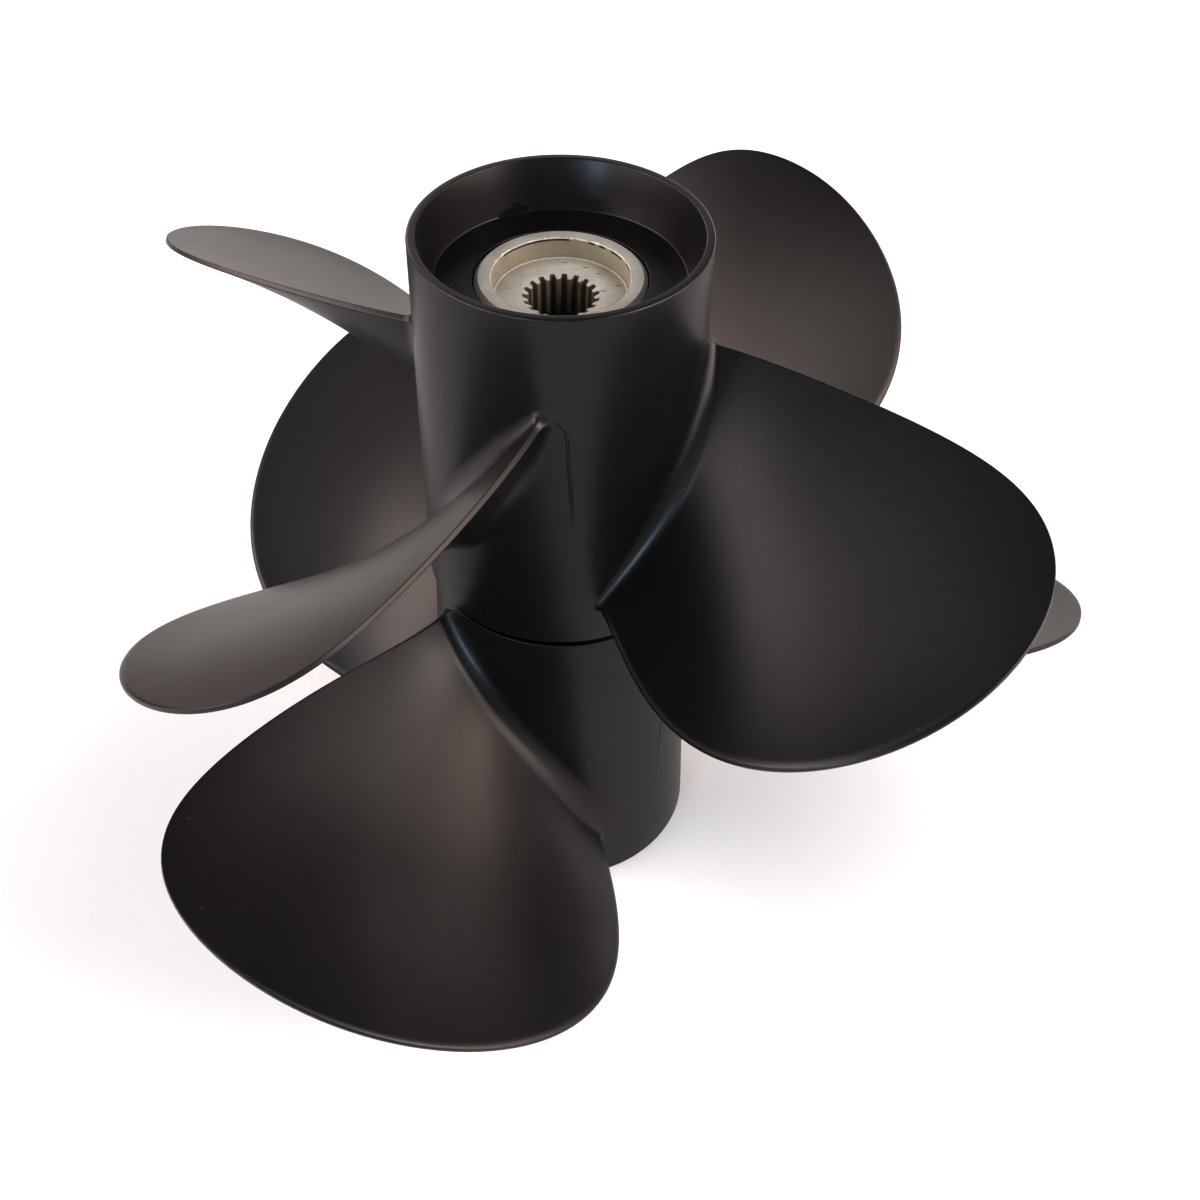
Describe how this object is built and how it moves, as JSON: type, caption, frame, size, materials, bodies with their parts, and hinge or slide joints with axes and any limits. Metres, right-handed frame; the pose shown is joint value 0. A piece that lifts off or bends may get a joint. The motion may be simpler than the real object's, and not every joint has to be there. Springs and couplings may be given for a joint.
{
  "type": "contra-rotating boat propeller pair",
  "caption": "Contra-rotating pair of boat propellers stacked on one axis, with opposite blade twist, open aft recess, bushed hubs and splined shaft bores.",
  "frame": {"origin": "middle of the bounding box's bottom; the hub axis stands at x -24.8 mm, y -0.5 mm", "axes": "+Z along the hub axis from the forward end, on which the pair stands, to the aft end; +X to the right and +Y away as seen in the picture"},
  "size_m": [0.3597, 0.3743, 0.283],
  "materials": {
    "satin_black": "satin black paint over cast aluminium, finely grained",
    "bush_metal": "bare turned metal, warm grey, with a brown tint inside",
    "spline_metal": "bare broached metal, dull grey",
    "rubber": "dull black"
  },
  "bodies": {
    "lower_propeller": {"lower_hub_barrel": "satin_black", "lower_hub_web": "satin_black", "lower_hub_core": "satin_black", "lower_hub_rib_1": "satin_black", "lower_hub_rib_2": "satin_black", "lower_hub_rib_3": "satin_black", "lower_bush_sleeve": "bush_metal", "lower_rubber_bush": "rubber", "lower_spline_sleeve": "spline_metal", "lower_blade_1": "satin_black", "lower_blade_2": "satin_black", "lower_blade_3": "satin_black"},
    "upper_propeller": {"upper_hub_barrel": "satin_black", "upper_hub_web": "satin_black", "upper_hub_core": "satin_black", "upper_bush_sleeve": "bush_metal", "upper_rubber_bush": "rubber", "upper_spline_sleeve": "spline_metal", "upper_blade_1": "satin_black", "upper_blade_2": "satin_black", "upper_blade_3": "satin_black", "upper_blade_4": "satin_black"}
  },
  "joints": [
    {"name": "upper_propeller_spin", "type": "hinge", "parent": "lower_propeller", "child": "upper_propeller", "pos_m": [-0.0248, -0.0005, 0.1413], "axis": [0, 0, 1], "continuous": true}
  ]
}
